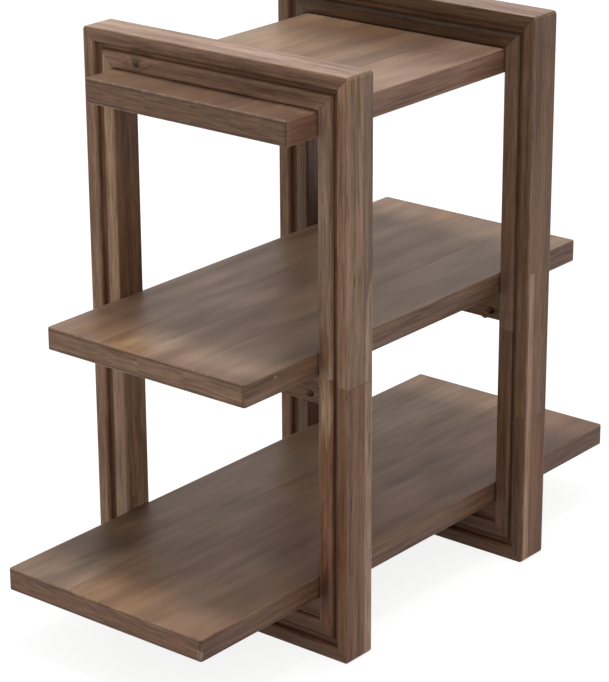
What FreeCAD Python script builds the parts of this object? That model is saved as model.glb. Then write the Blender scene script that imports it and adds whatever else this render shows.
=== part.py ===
"""Side table: three shelves carried by two mitred frames of moulded hardwood.

X runs along the shelves, Y across the frames and Z up. The origin is on the floor
in the middle of the table. Lengths are millimetres.
"""

import FreeCAD
import Part
import Sketcher
import math
import os
import re

# Driving sizes. Each one can be changed by itself.
SIZES = {
    # The two upright frames
    "frame_height": 530.0,
    "frame_width": 296.0,
    "frame_thickness": 34.0,
    "frame_spacing": 266.5,
    # The moulded member that all four sides of a frame are cut from
    "member_width": 34.2,
    "rim_width": 10.0,
    "rim_radius": 3.0,
    "groove_width": 5.5,
    "groove_depth": 7.2,
    "band_recess": 1.5,
    "band_radius": 4.5,
    "inner_radius": 2.5,
    "corner_radius": 4.0,
    "arris_radius": 1.5,
    # The loose tenon across each mitre
    "tenon_length": 24.0,
    "tenon_width": 14.0,
    "tenon_thickness": 6.0,
    "tenon_clearance": 0.1,
    "tenon_end_gap": 0.5,
    # The three shelves
    "shelf_side_gap": 0.5,
    "shelf_corner_radius": 3.0,
    "shelf_edge_radius": 1.5,
    "top_shelf_length": 372.0,
    "top_shelf_thickness": 22.5,
    "middle_shelf_length": 488.0,
    "middle_shelf_thickness": 21.2,
    "middle_shelf_height": 284.0,
    "bottom_shelf_length": 608.0,
    "bottom_shelf_thickness": 21.2,
    # The bearers under the two lower shelves
    "bearer_depth": 24.0,
    "bearer_edge_radius": 1.0,
    "middle_bearer_height": 26.5,
    "bottom_bearer_height": 19.0,
    # Fits and the overrun of every cut
    "screw_clearance": 0.2,
    "cut_overrun": 5.0,
    # Angled screws from the middle bearers into the posts
    "pocket_height": 8.0,
    "pocket_diameter": 7.2,
    "pocket_depth": 8.0,
    "pocket_screw_length": 19.0,
    "pocket_screw_diameter": 3.5,
    "pocket_screw_head_diameter": 6.4,
    "pocket_screw_head_height": 2.4,
    # Domed screws from the middle bearers up into the middle shelf
    "shelf_screw_length": 40.0,
    "shelf_screw_diameter": 4.0,
    "shelf_screw_head_diameter": 7.6,
    "shelf_screw_head_height": 3.4,
    "shelf_screw_end_distance": 21.5,
    "shelf_screw_row_spacing": 11.0,
    # Countersunk screws under the bottom rails
    "rail_screw_length": 66.0,
    "rail_screw_diameter": 5.0,
    "rail_screw_head_diameter": 10.0,
    "rail_screw_spacing": 150.0,
    # Countersunk screws up through the top shelf
    "top_screw_length": 42.0,
    "top_screw_diameter": 4.5,
    "top_screw_head_diameter": 8.6,
    "top_screw_spacing": 150.0,
    # Shapes that all countersunk screws share
    "countersunk_land": 0.5,
    "head_sink": 0.4,
    "screw_point_length": 5.0,
}

COUNTERSINK_ANGLE = 90.0

# The width of a screw's blunt tip, as a share of its shank
TIP_SHARE = 0.25

document = FreeCAD.newDocument("side_table")
sheet = document.addObject("Spreadsheet::Sheet", "sizes")


def fill_sheet():
    """Writes every driving size into the sheet, with its name as the alias."""
    for row, (name, value) in enumerate(SIZES.items(), start=1):
        sheet.set(f"A{row}", name)
        sheet.set(f"B{row}", str(value))
        sheet.setAlias(f"B{row}", name)
    document.recompute()


def linked(formula):
    """Turns a formula of plain size names into one that points at the sheet."""
    return re.sub(r"[a-z]+(?:_[a-z]+)+", lambda found: f"sizes.{found.group()}", formula)


def value_of(formula):
    """Works out a formula of size names as a number."""
    return float(sheet.evalExpression(linked(formula)))


def bind(feature, **formulas):
    """Binds properties of a feature to formulas of size names."""
    for name, formula in formulas.items():
        feature.setExpression(name, linked(formula))


def new_body(name):
    """Makes an empty body whose label names the finished piece."""
    body = document.addObject("PartDesign::Body", name)
    body.Label = name
    return body


def new_sketch(body, role, name, origin=("0", "0", "0"), axis=(0, 0, 1), angle=0.0):
    """Lays a sketch on an origin plane of the body, shifted and turned within it."""
    sketch = body.newObject("Sketcher::SketchObject", name)
    plane = next(item for item in body.Origin.OriginFeatures if item.Role == role)
    sketch.AttachmentSupport = [(plane, "")]
    sketch.MapMode = "FlatFace"
    turn = FreeCAD.Rotation(FreeCAD.Vector(*axis), angle)
    sketch.AttachmentOffset = FreeCAD.Placement(FreeCAD.Vector(), turn)
    for letter, formula in zip("xyz", origin):
        if formula != "0":
            sketch.setExpression(f"AttachmentOffset.Base.{letter}", linked(formula))
    document.recompute()
    return sketch


def pin(sketch, geometry, end, formulas):
    """Fixes a point of a sketch at two formulas measured from the sketch's origin."""
    kinds = (("DistanceX", -2), ("DistanceY", -1))
    for (kind, axis), formula in zip(kinds, formulas):
        if formula == "0":
            sketch.addConstraint(Sketcher.Constraint("PointOnObject", geometry, end, axis))
            continue
        size = Sketcher.Constraint(kind, -1, 1, geometry, end, value_of(formula))
        index = sketch.addConstraint(size)
        sketch.setExpression(f"Constraints[{index}]", linked(formula))


def arc_between(start, finish, radius, turn):
    """Gives the short arc from start to finish, turning left (+1) or right (-1)."""
    chord = finish - start
    rise = math.sqrt(max(radius**2 - (chord.Length / 2) ** 2, 0.0))
    across = FreeCAD.Vector(-chord.y, chord.x, 0).normalize()
    centre = (start + finish) / 2 + across * rise * turn
    first, last = (start, finish) if turn > 0 else (finish, start)
    angles = [math.atan2(point.y - centre.y, point.x - centre.x) for point in (first, last)]
    if angles[1] < angles[0]:
        angles[1] += 2 * math.pi
    circle = Part.Circle(centre, FreeCAD.Vector(0, 0, 1), radius)
    return Part.ArcOfCircle(circle, *angles)


def draw_outline(sketch, corners, arcs=None):
    """Draws a closed outline through corners, each a pair of formulas.

    An entry of arcs bends the side that starts at that corner: (radius, turn).
    """
    arcs = arcs or {}
    places = [FreeCAD.Vector(value_of(x), value_of(y), 0) for x, y in corners]
    sides = []
    for number, start in enumerate(places):
        finish = places[(number + 1) % len(places)]
        if number in arcs:
            radius, turn = arcs[number]
            curve = arc_between(start, finish, value_of(radius), turn)
            side = sketch.addGeometry(curve, False)
            ends = (1, 2) if turn > 0 else (2, 1)
        else:
            side = sketch.addGeometry(Part.LineSegment(start, finish), False)
            ends = (1, 2)
        sides.append((side, *ends))
    for number, (side, _, last) in enumerate(sides):
        after, first, _ = sides[(number + 1) % len(sides)]
        sketch.addConstraint(Sketcher.Constraint("Coincident", side, last, after, first))
    for (side, first, _), formulas in zip(sides, corners):
        pin(sketch, side, first, formulas)
    for number, (radius, _) in arcs.items():
        side = sides[number][0]
        size = Sketcher.Constraint("Radius", side, value_of(radius))
        index = sketch.addConstraint(size)
        sketch.setExpression(f"Constraints[{index}]", linked(radius))


def draw_rectangle(sketch, half_width, half_height):
    """Draws a rectangle round the sketch's origin."""
    signs = ((-1, -1), (1, -1), (1, 1), (-1, 1))
    corners = [(f"{x} * ({half_width})", f"{y} * ({half_height})") for x, y in signs]
    draw_outline(sketch, corners)


def draw_slot(sketch, length, width):
    """Draws a slot with round ends round the sketch's origin, long along its Y axis."""
    radius = value_of(f"({width}) / 2")
    centres = [("0", f"{sign} (({length}) - ({width})) / 2") for sign in ("", "-")]
    places = [FreeCAD.Vector(0, value_of(height), 0) for _, height in centres]
    upward = FreeCAD.Vector(0, 0, 1)
    across = FreeCAD.Vector(radius, 0, 0)
    shapes = [
        Part.ArcOfCircle(Part.Circle(places[0], upward, radius), 0, math.pi),
        Part.LineSegment(places[0] - across, places[1] - across),
        Part.ArcOfCircle(Part.Circle(places[1], upward, radius), math.pi, 2 * math.pi),
        Part.LineSegment(places[1] + across, places[0] + across),
    ]
    sides = [sketch.addGeometry(shape, False) for shape in shapes]
    for number, side in enumerate(sides):
        after = sides[(number + 1) % len(sides)]
        sketch.addConstraint(Sketcher.Constraint("Tangent", side, 2, after, 1))
    sketch.addConstraint(Sketcher.Constraint("Equal", sides[0], sides[2]))
    pin(sketch, sides[0], 3, centres[0])
    pin(sketch, sides[2], 3, centres[1])
    index = sketch.addConstraint(Sketcher.Constraint("Radius", sides[0], radius))
    sketch.setExpression(f"Constraints[{index}]", linked(f"({width}) / 2"))


def draw_circles(sketch, centres, diameter):
    """Draws one circle of the same diameter at each centre."""
    for centre in centres:
        place = FreeCAD.Vector(value_of(centre[0]), value_of(centre[1]), 0)
        circle = Part.Circle(place, FreeCAD.Vector(0, 0, 1), value_of(diameter) / 2)
        geometry = sketch.addGeometry(circle, False)
        pin(sketch, geometry, 3, centre)
        size = Sketcher.Constraint("Diameter", geometry, value_of(diameter))
        index = sketch.addConstraint(size)
        sketch.setExpression(f"Constraints[{index}]", linked(diameter))


def extrude(body, kind, name, sketch, length, both_ways=False):
    """Adds a pad or a pocket of a sketch to the body, to one side or to both."""
    feature = body.newObject(f"PartDesign::{kind}", name)
    feature.Profile = sketch
    feature.Midplane = both_ways
    bind(feature, Length=length)
    document.recompute()
    return feature


def round_edges(body, name, base, chosen, radius):
    """Rounds the edges of a feature that the test called chosen picks."""
    names = [f"Edge{n}" for n, edge in enumerate(base.Shape.Edges, 1) if chosen(edge)]
    fillet = body.newObject("PartDesign::Fillet", name)
    fillet.Base = (base, names)
    bind(fillet, Radius=radius)
    document.recompute()
    return fillet


def mirror(body, name, features, role):
    """Repeats features on the other side of an origin plane of the body."""
    mirrored = body.newObject("PartDesign::Mirrored", name)
    plane = next(item for item in body.Origin.OriginFeatures if item.Role == role)
    mirrored.Originals = features
    mirrored.MirrorPlane = (plane, [""])
    body.Tip = mirrored
    document.recompute()
    return mirrored


def place(body, position, axis=(0, 0, 1), angle=0.0):
    """Sets where the finished piece stands in the table and how it is turned."""
    turn = FreeCAD.Rotation(FreeCAD.Vector(*axis), angle)
    body.Placement = FreeCAD.Placement(FreeCAD.Vector(), turn)
    for letter, formula in zip("xyz", position):
        if formula != "0":
            body.setExpression(f"Placement.Base.{letter}", linked(formula))
    document.recompute()


# Formulas that several pieces share
HALF_THICKNESS = "frame_thickness / 2"
OPENING = "(frame_width - 2 * member_width)"
SHELF_WIDTH = f"({OPENING} - 2 * shelf_side_gap)"
BAND_WALL = "(band_recess + band_radius)"
SHELF_SCREW_PLACE = f"({OPENING} / 2 - shelf_screw_end_distance)"
SIDES = {"left": -1, "right": 1}


def draw_member_section(sketch):
    """Draws the moulding: rim, groove and rounded band, alike on both faces.

    The outer face lies on the sketch's X axis and the inner face at member_width.
    """
    rim_end = "(rim_width + rim_radius)"
    groove_end = "(rim_width + rim_radius + groove_width)"
    band_start = "(rim_width + rim_radius + groove_width + band_radius)"
    groove_rise = f"(groove_depth - {BAND_WALL})"
    groove_radius = f"(groove_width ^ 2 / 8 / {groove_rise} + {groove_rise} / 2)"
    profile = [
        ("0", "0"),
        ("0", "rim_width"),
        ("rim_radius", rim_end),
        (BAND_WALL, rim_end),
        (BAND_WALL, groove_end),
        ("band_recess", band_start),
        ("band_recess", "member_width - inner_radius"),
        ("band_recess + inner_radius", "member_width"),
    ]
    near = [(f"({depth}) - {HALF_THICKNESS}", inward) for depth, inward in profile]
    far = [(f"{HALF_THICKNESS} - ({depth})", inward) for depth, inward in reversed(profile)]
    arcs = {1: ("rim_radius", -1), 3: (groove_radius, 1)}
    arcs |= {4: ("band_radius", -1), 6: ("inner_radius", -1)}
    last = len(near) + len(far) - 2
    arcs |= {last - number: bend for number, bend in arcs.items()}
    draw_outline(sketch, near + far, arcs)


def cut_mitres(body, length):
    """Cuts both ends at 45 degrees and rounds off the frame's outer corners."""
    sketch = new_sketch(body, "YZ_Plane", "mitre_waste")
    tip = f"(corner_radius * (1 - {math.sqrt(0.5)}))"
    inside = "(member_width + cut_overrun)"
    waste = [
        (tip, tip),
        (inside, inside),
        (inside, "-cut_overrun"),
        ("-cut_overrun", "-cut_overrun"),
        ("-cut_overrun", "corner_radius"),
        ("0", "corner_radius"),
    ]
    arc = len(waste) - 1
    draw_outline(sketch, waste, {arc: ("corner_radius", 1)})
    far_waste = [(inward, f"{length} - ({along})") for inward, along in waste]
    draw_outline(sketch, far_waste, {arc: ("corner_radius", -1)})
    return extrude(body, "Pocket", "mitres", sketch, "frame_thickness + cut_overrun", True)


def round_outer_arrises(body, base):
    """Rounds the edges between the frame's outer face and its two side faces."""
    half = value_of(HALF_THICKNESS)
    reach = value_of(f"corner_radius * (1 - {math.sqrt(0.5)})")
    slack = value_of("arris_radius") / 100

    def on_arris(edge):
        box = edge.BoundBox
        flat = box.XMax - box.XMin < slack
        return flat and abs(abs(box.XMin) - half) < slack and box.YMax < reach + slack

    return round_edges(body, "outer_arrises", base, on_arris, "arris_radius")


def cut_mortises(body, length):
    """Cuts the slot for a loose tenon into each mitre face."""
    middle = "member_width / 2"
    for end, along, angle in (
        ("near", middle, 45.0),
        ("far", f"{length} - {middle}", -45.0),
    ):
        origin = ("0", middle, along)
        sketch = new_sketch(body, "XY_Plane", f"{end}_mortise_slot", origin, (1, 0, 0), angle)
        draw_slot(
            sketch,
            "tenon_width + 2 * tenon_clearance",
            "tenon_thickness + 2 * tenon_clearance",
        )
        depth = "tenon_length + 2 * tenon_end_gap"
        extrude(body, "Pocket", f"{end}_mortise", sketch, depth, True)


def build_member(name, length):
    """Makes one side of a frame: outer face at local Y 0, lying along local Z."""
    body = new_body(name)
    section = new_sketch(body, "XY_Plane", "section")
    draw_member_section(section)
    extrude(body, "Pad", "moulding", section, length)
    mitred = cut_mitres(body, length)
    round_outer_arrises(body, mitred)
    cut_mortises(body, length)
    return body


def drill_post(body, lean):
    """Drills the slanting pilot hole of the angled screw into the inner face."""
    height = f"{MIDDLE_BEARER_BASE} + pocket_height"
    origin = ("0", height, "-member_width")
    sketch = new_sketch(body, "XZ_Plane", "pilot_circle", origin, (0, 1, 0), 45.0 * lean)
    draw_circles(sketch, [("0", "0")], "pocket_screw_diameter + screw_clearance")
    depth = f"2 * (pocket_screw_length - {POCKET_GRIP} + screw_clearance)"
    extrude(body, "Pocket", "pilot_hole", sketch, depth, True)


def drill_bottom_rail(body):
    """Drills the two countersunk clearance holes up through a bottom rail."""
    sketch = new_sketch(body, "XZ_Plane", "rail_hole_centres")
    centres = [("0", f"frame_width / 2 {sign} rail_screw_spacing / 2") for sign in "-+"]
    draw_circles(sketch, centres, "rail_screw_diameter")
    add_countersunk_hole(body, sketch, "rail_screw")


def drill_top_rail(body):
    """Drills the two blind pilot holes up into a top rail's inner face."""
    origin = ("0", "0", "-member_width")
    sketch = new_sketch(body, "XZ_Plane", "pilot_circles", origin)
    centres = [("0", f"frame_width / 2 {sign} top_screw_spacing / 2") for sign in "-+"]
    draw_circles(sketch, centres, "top_screw_diameter + screw_clearance")
    depth = "2 * (top_screw_length + head_sink - top_shelf_thickness + screw_clearance)"
    extrude(body, "Pocket", "pilot_holes", sketch, depth, True)


def add_countersunk_hole(body, sketch, screw):
    """Drills countersunk through holes for a screw at the circles of a sketch."""
    hole = body.newObject("PartDesign::Hole", f"{screw}_holes")
    hole.Profile = sketch
    hole.DepthType = "ThroughAll"
    hole.Threaded = False
    hole.HoleCutType = "Countersink"
    hole.HoleCutCustomValues = True
    bind(hole, Diameter=f"{screw}_diameter + screw_clearance")
    rise = "(head_sink + countersunk_land)"
    bind(hole, HoleCutDiameter=f"{screw}_head_diameter + 2 * {rise} + screw_clearance")
    hole.HoleCutCountersinkAngle = COUNTERSINK_ANGLE
    document.recompute()
    return hole


# Heights and grips that follow from the sizes
MIDDLE_SHELF_BASE = "(middle_shelf_height - middle_shelf_thickness)"
MIDDLE_BEARER_BASE = f"({MIDDLE_SHELF_BASE} - middle_bearer_height)"
BOTTOM_SHELF_BASE = "(member_width + bottom_bearer_height)"
TOP_SHELF_BASE = "(frame_height - member_width - top_shelf_thickness)"
POCKET_GRIP = f"(bearer_depth / 2 * {math.sqrt(2)} - pocket_depth)"


def build_frame(side):
    """Makes the four members and four loose tenons of one frame."""
    centre = f"{SIDES[side]} * frame_spacing / 2"
    front = "-frame_width / 2"
    back = "frame_width / 2"

    post = build_member(f"{side}_frame_front_post", "frame_height")
    drill_post(post, 1)
    place(post, (centre, front, "0"))

    post = build_member(f"{side}_frame_back_post", "frame_height")
    drill_post(post, -1)
    place(post, (centre, back, "0"), (0, 0, 1), 180.0)

    rail = build_member(f"{side}_frame_bottom_rail", "frame_width")
    drill_bottom_rail(rail)
    place(rail, (centre, back, "0"), (1, 0, 0), 90.0)

    rail = build_member(f"{side}_frame_top_rail", "frame_width")
    drill_top_rail(rail)
    place(rail, (centre, front, "frame_height"), (1, 0, 0), -90.0)

    low = "member_width / 2"
    high = "frame_height - member_width / 2"
    near = f"{front} + {low}"
    far = f"{back} - {low}"
    build_tenon(f"{side}_frame_bottom_front_tenon", (centre, near, low), 45.0)
    build_tenon(f"{side}_frame_bottom_back_tenon", (centre, far, low), -45.0)
    build_tenon(f"{side}_frame_top_front_tenon", (centre, near, high), -45.0)
    build_tenon(f"{side}_frame_top_back_tenon", (centre, far, high), 45.0)


def build_tenon(name, position, angle):
    """Makes a loose tenon with round edges, square to its mitre."""
    body = new_body(name)
    sketch = new_sketch(body, "XY_Plane", "tenon_slot")
    draw_slot(sketch, "tenon_width", "tenon_thickness")
    extrude(body, "Pad", "tenon", sketch, "tenon_length", True)
    place(body, position, (1, 0, 0), angle)


def build_board(name, length, thickness, base):
    """Makes a shelf board with rounded corners and soft top and bottom edges."""
    body = new_body(name)
    sketch = new_sketch(body, "XY_Plane", "board_outline")
    half_length = f"({length} / 2)"
    half_width = f"({SHELF_WIDTH} / 2)"
    radius = "shelf_corner_radius"
    corners = [
        (f"-{half_length} + {radius}", f"-{half_width}"),
        (f"{half_length} - {radius}", f"-{half_width}"),
        (half_length, f"-{half_width} + {radius}"),
        (half_length, f"{half_width} - {radius}"),
        (f"{half_length} - {radius}", half_width),
        (f"-{half_length} + {radius}", half_width),
        (f"-{half_length}", f"{half_width} - {radius}"),
        (f"-{half_length}", f"-{half_width} + {radius}"),
    ]
    draw_outline(sketch, corners, {number: (radius, 1) for number in (1, 3, 5, 7)})
    board = extrude(body, "Pad", "board", sketch, thickness)

    def is_level(edge):
        return edge.BoundBox.ZLength < value_of("shelf_edge_radius") / 100

    round_edges(body, "soft_edges", board, is_level, "shelf_edge_radius")
    place(body, ("0", "0", base))
    return body


def frame_pairs(half_spacing, offset="0"):
    """Gives the centres of a row of two screws in each frame, as formulas."""
    return [
        (f"{x} * frame_spacing / 2 + ({offset})", f"{y} * ({half_spacing})")
        for x in (-1, 1)
        for y in (-1, 1)
    ]


def drill_blind(body, name, centres, diameter, depth):
    """Drills blind holes up into the underside of a board."""
    sketch = new_sketch(body, "XY_Plane", f"{name}_circles")
    draw_circles(sketch, centres, f"{diameter} + screw_clearance")
    extrude(body, "Pocket", name, sketch, f"2 * ({depth} + screw_clearance)", True)


def build_shelves():
    """Makes the three shelves with the screw holes in their undersides."""
    top = build_board("top_shelf", "top_shelf_length", "top_shelf_thickness", TOP_SHELF_BASE)
    sketch = new_sketch(top, "XY_Plane", "top_hole_centres", axis=(1, 0, 0), angle=180.0)
    draw_circles(sketch, frame_pairs("top_screw_spacing / 2"), "top_screw_diameter")
    add_countersunk_hole(top, sketch, "top_screw")

    middle = build_board(
        "middle_shelf", "middle_shelf_length", "middle_shelf_thickness", MIDDLE_SHELF_BASE
    )
    depth = "shelf_screw_length - middle_bearer_height"
    for row, offset in (("left", "-shelf_screw_row_spacing"), ("right", "shelf_screw_row_spacing")):
        centres = frame_pairs(SHELF_SCREW_PLACE, f"{offset} / 2")
        drill_blind(middle, f"{row}_row_holes", centres, "shelf_screw_diameter", depth)

    bottom = build_board(
        "bottom_shelf", "bottom_shelf_length", "bottom_shelf_thickness", BOTTOM_SHELF_BASE
    )
    depth = "rail_screw_length + head_sink - member_width - bottom_bearer_height"
    centres = frame_pairs("rail_screw_spacing / 2")
    drill_blind(bottom, "rail_screw_holes", centres, "rail_screw_diameter", depth)


def build_bearer(name, height):
    """Makes a square bearer that just fits between a frame's posts."""
    body = new_body(name)
    sketch = new_sketch(body, "XY_Plane", "bearer_outline")
    draw_rectangle(sketch, "bearer_depth / 2", f"{OPENING} / 2")
    bar = extrude(body, "Pad", "bar", sketch, height)
    return body, bar


def build_middle_bearer(side):
    """Makes a bearer for the middle shelf with its straight and angled screw holes."""
    body, bar = build_bearer(f"{side}_middle_bearer", "middle_bearer_height")
    slack = value_of("bearer_edge_radius") / 100

    def is_low_side(edge):
        box = edge.BoundBox
        return box.ZMax < slack and box.XLength < slack

    round_edges(body, "soft_low_edges", bar, is_low_side, "bearer_edge_radius")
    sketch = new_sketch(body, "XY_Plane", "shelf_screw_circles")
    centres = [
        (f"{x} * shelf_screw_row_spacing / 2", f"{y} * {SHELF_SCREW_PLACE}")
        for x in (-1, 1)
        for y in (-1, 1)
    ]
    draw_circles(sketch, centres, "shelf_screw_diameter + screw_clearance")
    depth = "2 * (middle_bearer_height + cut_overrun)"
    extrude(body, "Pocket", "shelf_screw_holes", sketch, depth, True)

    entry = (
        "-bearer_depth / 2",
        "pocket_height",
        f"{OPENING} / 2 - bearer_depth / 2",
    )
    sketch = new_sketch(body, "XZ_Plane", "counterbore_circle", entry, (0, 1, 0), 45.0)
    draw_circles(sketch, [("0", "0")], "pocket_diameter")
    bore = extrude(body, "Pocket", "counterbore", sketch, "2 * pocket_depth", True)
    sketch = new_sketch(body, "XZ_Plane", "shank_circle", entry, (0, 1, 0), 45.0)
    draw_circles(sketch, [("0", "0")], "pocket_screw_diameter + screw_clearance")
    depth = "2 * (bearer_depth + cut_overrun)"
    shank = extrude(body, "Pocket", "shank_hole", sketch, depth, True)
    mirror(body, "back_end_holes", [bore, shank], "XZ_Plane")
    place(body, (f"{SIDES[side]} * frame_spacing / 2", "0", MIDDLE_BEARER_BASE))


def build_bottom_bearer(side):
    """Makes the strip that lifts the bottom shelf off a bottom rail."""
    body, _ = build_bearer(f"{side}_bottom_bearer", "bottom_bearer_height")
    sketch = new_sketch(body, "XY_Plane", "rail_screw_circles")
    centres = [("0", f"{sign}rail_screw_spacing / 2") for sign in ("-", "")]
    draw_circles(sketch, centres, "rail_screw_diameter + screw_clearance")
    depth = "2 * (bottom_bearer_height + cut_overrun)"
    extrude(body, "Pocket", "rail_screw_holes", sketch, depth, True)
    place(body, (f"{SIDES[side]} * frame_spacing / 2", "0", "member_width"))


def turn_screw(body, outline, arcs, x="0", y="0"):
    """Turns a screw with its point up about an upright line at x, y."""
    sketch = new_sketch(body, "XZ_Plane", "half_screw", (x, "0", f"-({y})"))
    draw_outline(sketch, outline, arcs)
    turned = body.newObject("PartDesign::Revolution", "screw")
    turned.Profile = sketch
    turned.ReferenceAxis = (sketch, ["V_Axis"])
    turned.Angle = 360.0
    document.recompute()
    return turned


def countersunk_outline(screw):
    """Gives half the outline of a countersunk screw, its flat head at height 0."""
    shank = f"({screw}_diameter / 2)"
    head = f"({screw}_head_diameter / 2)"
    return [
        ("0", "0"),
        (head, "0"),
        (head, "countersunk_land"),
        (shank, f"countersunk_land + {head} - {shank}"),
        (shank, f"{screw}_length - screw_point_length"),
        (f"{shank} * {TIP_SHARE}", f"{screw}_length"),
        ("0", f"{screw}_length"),
    ]


def domed_outline(screw):
    """Gives half the outline of a domed screw, the seat of its head at height 0."""
    shank = f"({screw}_diameter / 2)"
    head = f"({screw}_head_diameter / 2)"
    return [
        ("0", f"-{screw}_head_height"),
        (head, f"-{screw}_head_height / 3"),
        (head, "0"),
        (shank, "0"),
        (shank, f"{screw}_length - screw_point_length"),
        (f"{shank} * {TIP_SHARE}", f"{screw}_length"),
        ("0", f"{screw}_length"),
    ]


def dome_arc(screw):
    """Gives the radius of the arc over a domed head, from its width and its rise."""
    head = f"({screw}_head_diameter / 2)"
    rise = f"({screw}_head_height * 2 / 3)"
    return {0: (f"({head} ^ 2 / 2 / {rise} + {rise} / 2)", 1)}


def build_countersunk_pair(name, screw, position):
    """Makes the two countersunk screws of one rail."""
    body = new_body(name)
    first = turn_screw(body, countersunk_outline(screw), {}, "0", f"{screw}_spacing / 2")
    mirror(body, "second_screw", [first], "XZ_Plane")
    place(body, position)


def build_shelf_screws(side):
    """Makes the four domed screws that hold the middle shelf to one bearer."""
    body = new_body(f"{side}_middle_shelf_screws")
    screw = "shelf_screw"
    row = f"{screw}_row_spacing / 2"
    outline = domed_outline(screw)
    first = turn_screw(body, outline, dome_arc(screw), row, SHELF_SCREW_PLACE)
    quarters = body.newObject("PartDesign::MultiTransform", "four_screws")
    quarters.Originals = [first]
    steps = []
    for role in ("YZ_Plane", "XZ_Plane"):
        step = body.newObject("PartDesign::Mirrored", f"across_{role[:2].lower()}")
        plane = next(item for item in body.Origin.OriginFeatures if item.Role == role)
        step.MirrorPlane = (plane, [""])
        steps.append(step)
    quarters.Transformations = steps
    body.Tip = quarters
    document.recompute()
    place(body, (f"{SIDES[side]} * frame_spacing / 2", "0", MIDDLE_BEARER_BASE))


def build_pocket_screws(side):
    """Makes the two angled screws that hold one middle bearer between its posts."""
    for end, turn in (("front", 1), ("back", -1)):
        body = new_body(f"{side}_bearer_{end}_screw")
        screw = "pocket_screw"
        turn_screw(body, domed_outline(screw), dome_arc(screw))
        seat = f"(pocket_depth * {math.sqrt(0.5)})"
        along = f"({OPENING} / 2 - bearer_depth / 2 + {seat})"
        position = (
            f"{SIDES[side]} * frame_spacing / 2 - bearer_depth / 2 + {seat}",
            f"{-turn} * {along}",
            f"{MIDDLE_BEARER_BASE} + pocket_height",
        )
        place(body, position, (turn, turn, 0) if turn > 0 else (-1, 1, 0), 90.0)


def build_screws():
    """Makes every screw of the table."""
    for side, sign in SIDES.items():
        centre = f"{sign} * frame_spacing / 2"
        build_pocket_screws(side)
        build_shelf_screws(side)
        build_countersunk_pair(
            f"{side}_bottom_rail_screws", "rail_screw", (centre, "0", "head_sink")
        )
        build_countersunk_pair(
            f"{side}_top_shelf_screws",
            "top_screw",
            (centre, "0", f"{TOP_SHELF_BASE} + head_sink"),
        )


def check_model(bodies):
    """Stops with a list of faults if any feature failed or any cut took nothing away."""
    faults = []
    for item in document.Objects:
        if "Invalid" in item.State or "Error" in item.State:
            faults.append(f"{item.Label} is {item.State}")
        if item.TypeId in ("PartDesign::Pocket", "PartDesign::Hole"):
            if item.Shape.Volume >= item.BaseFeature.Shape.Volume:
                faults.append(f"{item.Label} cuts nothing")
    for body in bodies:
        if body.Shape.isNull() or not body.Shape.isValid():
            faults.append(f"{body.Label} has no valid shape")
    if faults:
        raise RuntimeError("; ".join(faults))


def write_parts(bodies):
    """Writes each finished piece as a STEP file that carries its name."""
    os.makedirs("parts", exist_ok=True)
    for body in bodies:
        body.Shape.exportStep(os.path.join("parts", f"{body.Label}.step"))


def main():
    """Builds the table, checks it and writes its pieces."""
    fill_sheet()
    for side in SIDES:
        build_frame(side)
        build_middle_bearer(side)
        build_bottom_bearer(side)
    build_shelves()
    build_screws()
    document.recompute()
    bodies = [item for item in document.Objects if item.TypeId == "PartDesign::Body"]
    check_model(bodies)
    write_parts(bodies)
    print(f"{len(bodies)} pieces written")


main()
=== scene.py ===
"""Looks of the side table: two moulded upright frames that carry three stepped shelves.

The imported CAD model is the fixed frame. Its boards and members keep their shapes and get
their real finishes here, and the screws are modelled in full. One unit is one metre.
"""

import logging
import math
from dataclasses import dataclass
from enum import Enum

import bpy
from mathutils import Matrix, Vector


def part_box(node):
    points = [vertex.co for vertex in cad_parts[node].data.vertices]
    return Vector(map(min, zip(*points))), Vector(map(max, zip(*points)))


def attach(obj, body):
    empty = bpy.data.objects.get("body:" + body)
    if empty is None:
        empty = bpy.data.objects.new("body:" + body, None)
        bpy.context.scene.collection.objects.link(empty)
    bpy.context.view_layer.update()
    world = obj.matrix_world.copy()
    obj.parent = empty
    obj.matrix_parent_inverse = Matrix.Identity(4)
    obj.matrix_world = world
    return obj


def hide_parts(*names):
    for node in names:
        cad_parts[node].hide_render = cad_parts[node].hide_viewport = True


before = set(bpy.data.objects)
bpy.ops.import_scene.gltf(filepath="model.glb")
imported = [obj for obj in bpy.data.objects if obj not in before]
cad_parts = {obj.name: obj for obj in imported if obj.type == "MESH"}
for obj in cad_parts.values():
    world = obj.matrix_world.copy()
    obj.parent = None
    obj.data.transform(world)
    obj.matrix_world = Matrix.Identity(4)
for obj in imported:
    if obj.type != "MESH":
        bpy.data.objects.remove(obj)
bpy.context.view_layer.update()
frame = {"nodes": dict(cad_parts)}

MM = 0.001
PER_METRE = 1000.0
# Past every face of the table, in millimetres
FAR = 9999.0
LOG = logging.getLogger("side_table")

# Kinds of node that come often
MATH, VECTOR, RANGE = "ShaderNodeMath", "ShaderNodeVectorMath", "ShaderNodeMapRange"
MIX, NOISE, SPLIT = "ShaderNodeMix", "ShaderNodeTexNoise", "ShaderNodeSeparateXYZ"
# What the Mix node needs to mix colours: its sockets and its settings
FACTOR, FIRST, SECOND = 0, 6, 7
COLOURS = {"output": 2, "data_type": "RGBA"}

Triple = tuple[float, float, float]
Span = tuple[float, float]
Socket = bpy.types.NodeSocket
Material = bpy.types.Material
Piece = bpy.types.Object


def linear(code: str) -> tuple[float, float, float, float]:
    """Turns an sRGB hex colour into linear light, by the standard's own curve.

    Args:
        code: The colour as six hex digits after a hash.

    Returns:
        Red, green, blue and an alpha of one.
    """
    parts = [int(code[place:place + 2], 16) / 255 for place in (1, 3, 5)]
    light = [part / 12.92 if part <= 0.04045 else ((part + 0.055) / 1.055) ** 2.4 for part in parts]
    return (*light, 1.0)


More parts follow.
